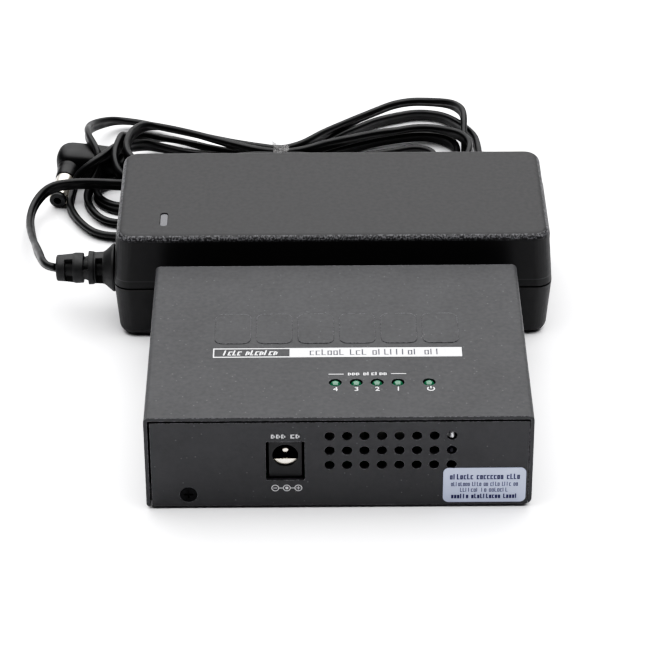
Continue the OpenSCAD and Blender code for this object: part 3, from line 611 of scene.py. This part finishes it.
# head as (along it, half depth, half height)
HEAD_STATIONS = ((-4.58, 0, 0), (-4.56, 1.2, 1.4), (-4.4, 2.4, 2.7), (-3.9, 3.5, 3.8), (-3, 4.4, 4.6),
                 (-1.8, 4.9, 5.15), (-0.4, 5.08, 5.38), (2, 5.05, 5.36), (5, 4.95, 5.3), (8, 4.85, 5.2),
                 (11, 4.75, 5.05), (12.5, 4.4, 4.6), (14, 3.8, 3.9), (15.4, 3.1, 3.1), (16.1, 2.9, 2.9),
                 (16.35, 2.6, 2.6), (16.38, 0, 0))
# collar as (from the head's axis, radius)
COLLAR_OUTLINE = ((2, 0), (2, 3.58), (5.3, 3.58), (5.6, 3.4), (6.2, 3.32), (8.9, 3.12), (9.3, 3), (9.48, 2.8),
                  (9.48, 0))
SIDES = 40
HEAD_SQUARE = 0.75                          # below 1, the head's section is squarer than an oval


def plug_place(x, y, z):
    """A place given from the plug's corner, along its arm, across and up, in the row's frame."""
    turned = Euler([math.radians(a) for a in PLUG_TURN]).to_matrix() @ Vector((x, y, z))
    return turned + Vector(PLUG_AT)


def rings_to_mesh(name, rings):
    """Joins closed rings of equally many points."""
    count = len(rings[0])
    faces = [(i * count + k, i * count + (k + 1) % count, (i + 1) * count + (k + 1) % count,
              (i + 1) * count + k) for i in range(len(rings) - 1) for k in range(count)]
    thing = mesh_from(name, [p for ring in rings for p in ring], faces)
    tidy_mesh(thing)
    return thing


def squared(value, power):
    """A cosine or sine bent towards the sides of a square."""
    return math.copysign(abs(value) ** power, value)


def make_plug_head():
    turn = [2 * math.pi * k / SIDES for k in range(SIDES)]
    corners = [(squared(math.cos(a), HEAD_SQUARE), squared(math.sin(a), HEAD_SQUARE)) for a in turn]
    body = [[plug_place(x, deep * c, high * s) for c, s in corners] for x, deep, high in HEAD_STATIONS]
    collar = [[plug_place(r * math.cos(a), -s, r * math.sin(a)) for a in turn] for s, r in COLLAR_OUTLINE]
    dress(rings_to_mesh("plug_body", body), "lead_rubber", "power_adapter", "plug_head")
    dress(rings_to_mesh("plug_collar", collar), "lead_rubber", "power_adapter", "plug_head")


make_plug_head()

# ---------- tie ----------

TIE_BUNDLE = ((99.1, 110.9), (0.35, 9.7))   # what it goes round, in y and z
TIE_WIDE = 4.4
TIE_FILM = 0.22
TIE_TURN, TIE_ACROSS = 44, 6                # faces round it and across it
TIE_SQUARE = 0.6
TIE_LOW = 0.08                              # its inner face over the floor
CREASE = 0.1
EDGE_WAVE = 0.25
# loose ends as (name, side, rise, middle in y)
TIE_ENDS = (("tie_end_left", -1, 1.5, 106), ("tie_end_right", 1, 0.9, 104))


def ragged(amount):
    """A random step of up to this much either way."""
    return float(strokes.uniform(-amount, amount))


def make_tie():
    """A strip of clear film round the bundle, with creased edges, and its two loose ends."""
    (y0, y1), (z0, z1) = TIE_BUNDLE
    middle, half = ((y0 + y1) / 2, (z0 + z1) / 2), ((y1 - y0) / 2, (z1 - z0) / 2)
    points, faces = [], []
    for k in range(TIE_TURN):
        angle = 2 * math.pi * k / TIE_TURN
        out = [squared(math.cos(angle), TIE_SQUARE), squared(math.sin(angle), TIE_SQUARE)]
        lean, puff = ragged(EDGE_WAVE), 1 + ragged(0.02)
        for layer in (0, TIE_FILM):
            for j in range(TIE_ACROSS + 1):
                x = TIE_X + lean + (j / TIE_ACROSS - 0.5) * (TIE_WIDE + ragged(EDGE_WAVE))
                crease = ragged(CREASE)
                y, z = (middle[i] + out[i] * (half[i] * puff + crease + layer) for i in (0, 1))
                points.append((x, y, max(z, TIE_LOW + layer / 2)))
    top = TIE_ACROSS + 1
    for k in range(TIE_TURN):
        here, there = 2 * top * k, 2 * top * ((k + 1) % TIE_TURN)
        for j in range(TIE_ACROSS):
            faces.append((here + j, here + j + 1, there + j + 1, there + j))
            faces.append((here + top + j, there + top + j, there + top + j + 1, here + top + j + 1))
        for j in (0, TIE_ACROSS):
            faces.append((here + j, there + j, there + j + top, here + j + top))
    band = mesh_from("tie_band", points, faces)
    tidy_mesh(band)
    dress(band, "tie_plastic", "power_adapter", "cord_tie")
    for name, side, lift, back in TIE_ENDS:
        tab = [(TIE_X + side * (0.4 + 2.1 * s) + ragged(CREASE),
                back + 1.6 * (w - 0.5) * (1 + 0.3 * s) + ragged(0.15),
                z1 + 0.25 + lift * s + 0.35 * w + film) for film in (0, TIE_FILM)
               for s in (0, 0.35, 0.7, 1) for w in (0, 0.5, 1)]
        loose = mesh_from(name, tab, slab_faces(4, 3))
        tidy_mesh(loose)
        dress(loose, "tie_plastic", "power_adapter", "cord_tie")


def slab_faces(rows, columns):
    """Faces of two grids, one over the other, closed round the edge."""
    size = rows * columns
    faces = []
    for r in range(rows - 1):
        for c in range(columns - 1):
            a = r * columns + c
            faces.append((a, a + columns, a + columns + 1, a + 1))
            faces.append((size + a, size + a + 1, size + a + columns + 1, size + a + columns))
    rim = (list(range(columns)) + [r * columns + columns - 1 for r in range(1, rows)]
           + [(rows - 1) * columns + c for c in range(columns - 2, -1, -1)]
           + [r * columns for r in range(rows - 2, 0, -1)])
    for a, b in zip(rim, rim[1:] + rim[:1]):
        faces.append((a, b, b + size, a + size))
    return faces


make_tie()

# ---------- print and labels ----------

CASE_AT = (0.8, -65.3, 0.8)                 # front panel's lower middle
CASE_TOP = 26.6
INK = 0.03                                  # thickness of print
WORD_GAP = 0.8                              # between words, as a share of a stroke's cell
SHORT = 0.78                                # a short stroke's height, and a sign's width in its cell
THIN = 0.8                                  # level strokes against upright ones


def on_top(u, v, h):
    """A place on the cover: across, back from the front edge, and above the sheet, in mm."""
    return CASE_AT[0] + u, CASE_AT[1] + v, CASE_AT[2] + CASE_TOP + h


def on_front(u, v, h):
    """A place on the front panel: across, up from the lower edge, and out of the panel, in mm."""
    return CASE_AT[0] + u, CASE_AT[1] - h, CASE_AT[2] + v


class Marks:
    """Thin printed shapes on one face, gathered into one mesh."""

    def __init__(self, place, base=0.0):
        self.place, self.base, self.thick, self.points, self.faces = place, base, INK, [], []

    def polygon(self, corners):
        start, count = len(self.points), len(corners)
        for height in (self.base, self.base + self.thick):
            self.points += [self.place(u, v, height) for u, v in corners]
        self.faces.append(tuple(range(start, start + count))[::-1])
        self.faces.append(tuple(range(start + count, start + 2 * count)))
        for k in range(count):
            a, b = start + k, start + (k + 1) % count
            self.faces.append((a, b, b + count, a + count))

    def bar(self, u0, v0, u1, v1, slant=0.0):
        self.polygon([(u0, v0), (u1, v0), (u1 + slant, v1), (u0 + slant, v1)])

    def ring(self, u, v, radius, line, sides=28):
        turn = [2 * math.pi * k / sides for k in range(sides + 1)]
        for a, b in zip(turn, turn[1:]):
            self.polygon([(u + r * math.cos(t), v + r * math.sin(t))
                          for r, t in ((radius - line, a), (radius, a), (radius, b), (radius - line, b))])

    def dot(self, u, v, radius, sides=20):
        self.polygon([(u + radius * math.cos(2 * math.pi * k / sides),
                       v + radius * math.sin(2 * math.pi * k / sides)) for k in range(sides)])

    def greek(self, u0, v0, u1, v1, words, line, slant=0.0):
        """Strokes that stand for words of these lengths, without any letter."""
        cell = (u1 - u0) / (sum(words) + WORD_GAP * (len(words) - 1))
        u, tall = u0, v1 - v0
        for length in words:
            for _ in range(length):
                shape = strokes.integers(0, 5)
                high = v0 + tall * (1 if shape in (0, 3) else SHORT)
                lean = slant * (high - v0) / tall
                wide = cell * SHORT
                self.bar(u, v0, u + line, high, lean)
                if shape != 3:
                    self.bar(u + line, v0, u + wide, v0 + line * THIN)
                if shape in (1, 2, 4):
                    self.bar(u + line + lean, high - line * THIN, u + wide + lean, high)
                if shape in (2, 4):
                    self.bar(u + wide - line, v0, u + wide, high, lean)
                u += cell
            u += WORD_GAP * cell

    def numeral(self, text, u, v, height):
        """A numeral whose middle is at (u, v)."""
        curve = bpy.data.curves.new("numeral", "FONT")
        curve.body = text
        carrier = new_object("numeral", curve)
        bpy.context.view_layer.update()
        mesh = bpy.data.meshes.new_from_object(carrier.evaluated_get(bpy.context.evaluated_depsgraph_get()))
        bpy.data.objects.remove(carrier)
        flat = [(p.co.x, p.co.y) for p in mesh.vertices]
        low = [min(c) for c in zip(*flat)]
        high = [max(c) for c in zip(*flat)]
        scale = height / (high[1] - low[1])
        for face in mesh.polygons:
            corners = [flat[k] for k in face.vertices]
            self.polygon([(u + (x - (low[0] + high[0]) / 2) * scale,
                           v + (y - (low[1] + high[1]) / 2) * scale) for x, y in corners])

    def make(self, name, finish):
        piece = mesh_from(name, self.points, self.faces, smooth=False)
        dress(piece, "label", "injector")
        piece.data.materials[0] = finish.material
        return piece


def ink(name, color, worn, amount):
    """Print that is worn towards another colour in places."""
    made = Finish(name, color, 0.5, 0.3)
    made.tint(made.between(made.noise(0.5, 2), 0.45, 0.7, 0, amount), worn)
    return made


white_ink = ink("white_ink", (0.6, 0.6, 0.61), (0.45, 0.45, 0.46), 0.3)
dark_ink = ink("dark_ink", (0.06, 0.06, 0.075), (0.12, 0.12, 0.14), 0.4)
navy_ink = ink("navy_ink", (0.03, 0.035, 0.11), (0.08, 0.09, 0.18), 0.4)

LAMPS_AT = ((-0.73, "4"), (4.53, "3"), (9.79, "2"), (15.05, "1"))
NUMERAL_AT, NUMERAL_HIGH = 12.75, 1.75
POWER_SIGN_AT = (23.25, 12.7)
POWER_RING = (0.72, 0.98)                   # inner and outer radius
POWER_GAP = 40                              # half the angle of its gap, in degrees
POWER_SIDES = 22
POWER_STROKE = (0.13, 0.15, 1.15)           # half its width, lower and upper end
STRIP = (-31.9, 27.7, 31.75, 32.0)          # title strip: left, front, right, rear
STRIP_SPLIT = -12.3
STRIP_LINE, STRIP_SIDE = 0.35, 0.28         # its outline's level and upright lines
# rows of strokes as (left, lower edge, right, upper edge, word lengths, stroke's width)
STRIP_ROW = (-29.4, 28.75, -15.4, 31.0, (4, 7), 0.36)
STRIP_SLANT = 0.5
STRIP_DARK_ROW = (-7.2, 28.6, 26.7, 31.3, (6, 3, 8, 3), 0.36)
LAMP_ROW = (2.5, 19.05, 12.5, 20.5, (3, 6), 0.26)
# thin lines on either side of the lamps' row, as (left, front, right, rear)
LAMP_LINES = ((-2.4, 19.5, 1.4, 19.72), (13.4, 19.6, 17.2, 19.82))
TILE_SPAN = (-32.4, 32)
TILE_DEEP = (34.2, 48.6)
TILE_COUNT = 6
TILE_HIGH = 0.12
TILE_ROUND = 2.2
TILE_GAP = 0.7                              # on either side of a tile


def print_cover():
    """The title strip, the line over the lamps, and the lamps' signs."""
    left, front, right, rear = STRIP
    white = Marks(on_top)
    white.bar(STRIP_SPLIT, front, right, rear)
    white.bar(left, front, STRIP_SPLIT, front + STRIP_LINE)
    white.bar(left, rear - STRIP_LINE, STRIP_SPLIT, rear)
    white.bar(left, front + STRIP_LINE, left + STRIP_SIDE, rear - STRIP_LINE)
    white.greek(*STRIP_ROW, STRIP_SLANT)
    for line in LAMP_LINES:
        white.bar(*line)
    white.greek(*LAMP_ROW)
    for u, text in LAMPS_AT:
        white.numeral(text, u, NUMERAL_AT, NUMERAL_HIGH)
    power_sign(white, *POWER_SIGN_AT)
    white.make("cover_print", white_ink)
    dark = Marks(on_top, INK)
    dark.greek(*STRIP_DARK_ROW)
    dark.make("cover_print_dark", dark_ink)


def raise_panels():
    """A row of plain raised tiles where the cover carries relief."""
    left, right = TILE_SPAN
    pitch = (right - left) / TILE_COUNT
    tiles = Marks(on_top)
    tiles.thick = TILE_HIGH
    for k in range(TILE_COUNT):
        u0, u1 = left + k * pitch + TILE_GAP, left + (k + 1) * pitch - TILE_GAP
        v0, v1 = TILE_DEEP
        corners = []
        for cu, cv, start in ((u1, v1, 0), (u0, v1, 90), (u0, v0, 180), (u1, v0, 270)):
            du, dv = (-TILE_ROUND if cu == u1 else TILE_ROUND), (-TILE_ROUND if cv == v1 else TILE_ROUND)
            for a in range(start, start + 91, 15):
                corners.append((cu + du + TILE_ROUND * math.cos(math.radians(a)),
                                cv + dv + TILE_ROUND * math.sin(math.radians(a))))
        tiles.polygon(corners)
    piece = tiles.make("cover_relief", FINISHES["case_paint"])


def power_sign(marks, u, v):
    """A broken ring with a stroke in its gap."""
    start, sweep = 90 + POWER_GAP, 360 - 2 * POWER_GAP
    inner, outer = POWER_RING
    for k in range(POWER_SIDES):
        a, b = (math.radians(start + sweep * s / POWER_SIDES) for s in (k, k + 1))
        marks.polygon([(u + r * math.cos(t), v + r * math.sin(t))
                       for r, t in ((inner, a), (outer, a), (outer, b), (inner, b))])
    half, low, high = POWER_STROKE
    marks.bar(u - half, v + low, u + half, v + high)


POLES_AT = (-16.0, -13.1, -10.2)            # minus, centre, plus
POLE_HIGH = 5.4
POLE_RADIUS, POLE_LINE = 0.98, 0.22
SIGN_HALF, SIGN_THIN = 0.5, 0.1             # half length and half thickness of a minus
PLUS_TALL = 0.48
PIN_DOT = 0.42
JACK_ROW = (-16.9, 20.4, -9.5, 21.9, (3, 2), 0.36)


def print_front():
    """Strokes over the jack, and the sign of its poles under it."""
    white = Marks(on_front)
    white.greek(*JACK_ROW)
    minus, pin, plus = POLES_AT
    for u in POLES_AT:
        white.ring(u, POLE_HIGH, POLE_RADIUS, POLE_LINE)
    for a, b in ((minus, pin), (pin, plus)):
        white.bar(a + POLE_RADIUS, POLE_HIGH - POLE_LINE / 2, b - POLE_RADIUS, POLE_HIGH + POLE_LINE / 2)
    white.bar(minus - SIGN_HALF, POLE_HIGH - SIGN_THIN, minus + SIGN_HALF, POLE_HIGH + SIGN_THIN)
    white.dot(pin, POLE_HIGH, PIN_DOT)
    white.bar(plus - SIGN_HALF, POLE_HIGH - SIGN_THIN, plus + SIGN_HALF, POLE_HIGH + SIGN_THIN)
    white.bar(plus - SIGN_THIN, POLE_HIGH - PLUS_TALL, plus + SIGN_THIN, POLE_HIGH + PLUS_TALL)
    white.make("panel_print", white_ink)


SEAL_FACE = 0.1                             # the seal's film over the panel
SEAL_BOLD = ((27.8, 7.75, 45.5, 9.35, (7, 8, 4), 0.3), (28.2, 1.95, 45.0, 3.3, (6, 10, 5), 0.3))
SEAL_FINE = ((28.1, 5.7, 45.0, 6.95, (8, 4, 2, 4, 4, 2), 0.16), (30.4, 3.95, 42.5, 5.15, (7, 2, 7), 0.16))


def print_seal():
    """Rows of strokes on the seal, two bold and two fine."""
    for name, rows in (("seal_title", SEAL_BOLD), ("seal_lines", SEAL_FINE)):
        marks = Marks(on_front, SEAL_FACE)
        for row in rows:
            marks.greek(*row)
        marks.make(name, navy_ink)


raise_panels()
print_cover()
print_front()
print_seal()

# ---------- jack's spring contact ----------

JACK_AT = (-13.4, 14.5)                     # its axis on the front panel
JACK_FACE = 1.1
SPRING_AT = -1.15                           # depth of its bent end behind the jack's face
SPRING_RADIUS = 3.15
SPRING_TOP = -1.35                          # its upper edge against the axis
SPRING_THICK = 0.5


def make_spring():
    """The end of the contact leaf, which fills the lower part of the bore."""
    half = math.acos(-SPRING_TOP / SPRING_RADIUS)
    arc = [-math.pi / 2 - half + 2 * half * k / 16 for k in range(17)]
    spring = Marks(on_front, SPRING_AT - JACK_FACE)
    spring.thick = SPRING_THICK
    spring.polygon([(JACK_AT[0] + SPRING_RADIUS * math.cos(a), JACK_AT[1] + SPRING_RADIUS * math.sin(a))
                    for a in arc])
    piece = spring.make("jack_spring", FINISHES["contact_metal"])


make_spring()

# ---------- floor and light ----------


FLOOR_REACH = 6                             # metres


def make_floor():
    mesh = bpy.data.meshes.new("floor")
    corners = [(FLOOR_REACH * x, FLOOR_REACH * y, 0) for x, y in ((-1, -1), (1, -1), (1, 1), (-1, 1))]
    mesh.from_pydata(corners, [], [(0, 1, 2, 3)])
    floor = new_object("floor", mesh)
    white = Finish("floor", (0.86, 0.86, 0.87), 0.6, 0.2)
    white.bump(white.noise(60, 1), 0.05, 0.1)
    mesh.materials.append(white.material)


def soft_box(name, at, size, power, aim):
    """A lamp panel that the camera doesn't see."""
    data = bpy.data.lights.new(name, "AREA")
    data.shape = "RECTANGLE"
    data.size, data.size_y = size
    data.energy = power
    box = bpy.data.objects.new(name, data)
    box.location = at
    box.visible_camera = False
    box.rotation_mode = "QUATERNION"
    box.rotation_quaternion = (Vector(aim) - Vector(at)).to_track_quat("-Z", "Y")
    bpy.context.scene.collection.objects.link(box)


# each panel's place, width and height, power, and the place it faces, in metres and watts
OVERHEAD = ((0, 0.2, 1.4), (2.6, 2), 50, (0, 0.1, 0))
BACKDROP = ((0, 2.4, 1.5), (4, 2), 37, (0, 0, 0))
SKY_LIT, SKY_SEEN = 0.1, 0.95               # the surroundings' strength as light and as a background
# how dark and light tones are shown, as a photograph's print does
TONE = ((0.02, 0.006), (0.1, 0.09), (0.5, 0.62))


def make_light():
    world = bpy.data.worlds.new("world")
    world.use_nodes = True
    nodes, links = world.node_tree.nodes, world.node_tree.links
    sky = nodes["Background"]
    sky.inputs["Color"].default_value = (1, 1, 1, 1)
    seen = nodes.new("ShaderNodeLightPath").outputs["Is Camera Ray"]
    share = nodes.new("ShaderNodeMapRange")
    share.inputs["To Min"].default_value = SKY_LIT
    share.inputs["To Max"].default_value = SKY_SEEN
    links.new(seen, share.inputs["Value"])
    links.new(share.outputs["Result"], sky.inputs["Strength"])
    bpy.context.scene.world = world
    soft_box("overhead", *OVERHEAD)
    soft_box("backdrop", *BACKDROP)
    look = bpy.context.scene.view_settings
    look.view_transform = "Standard"
    look.use_curve_mapping = True
    curve = look.curve_mapping.curves[3]
    for dark, shown in TONE:
        curve.points.new(dark, shown)
    look.curve_mapping.update()


make_floor()
make_light()
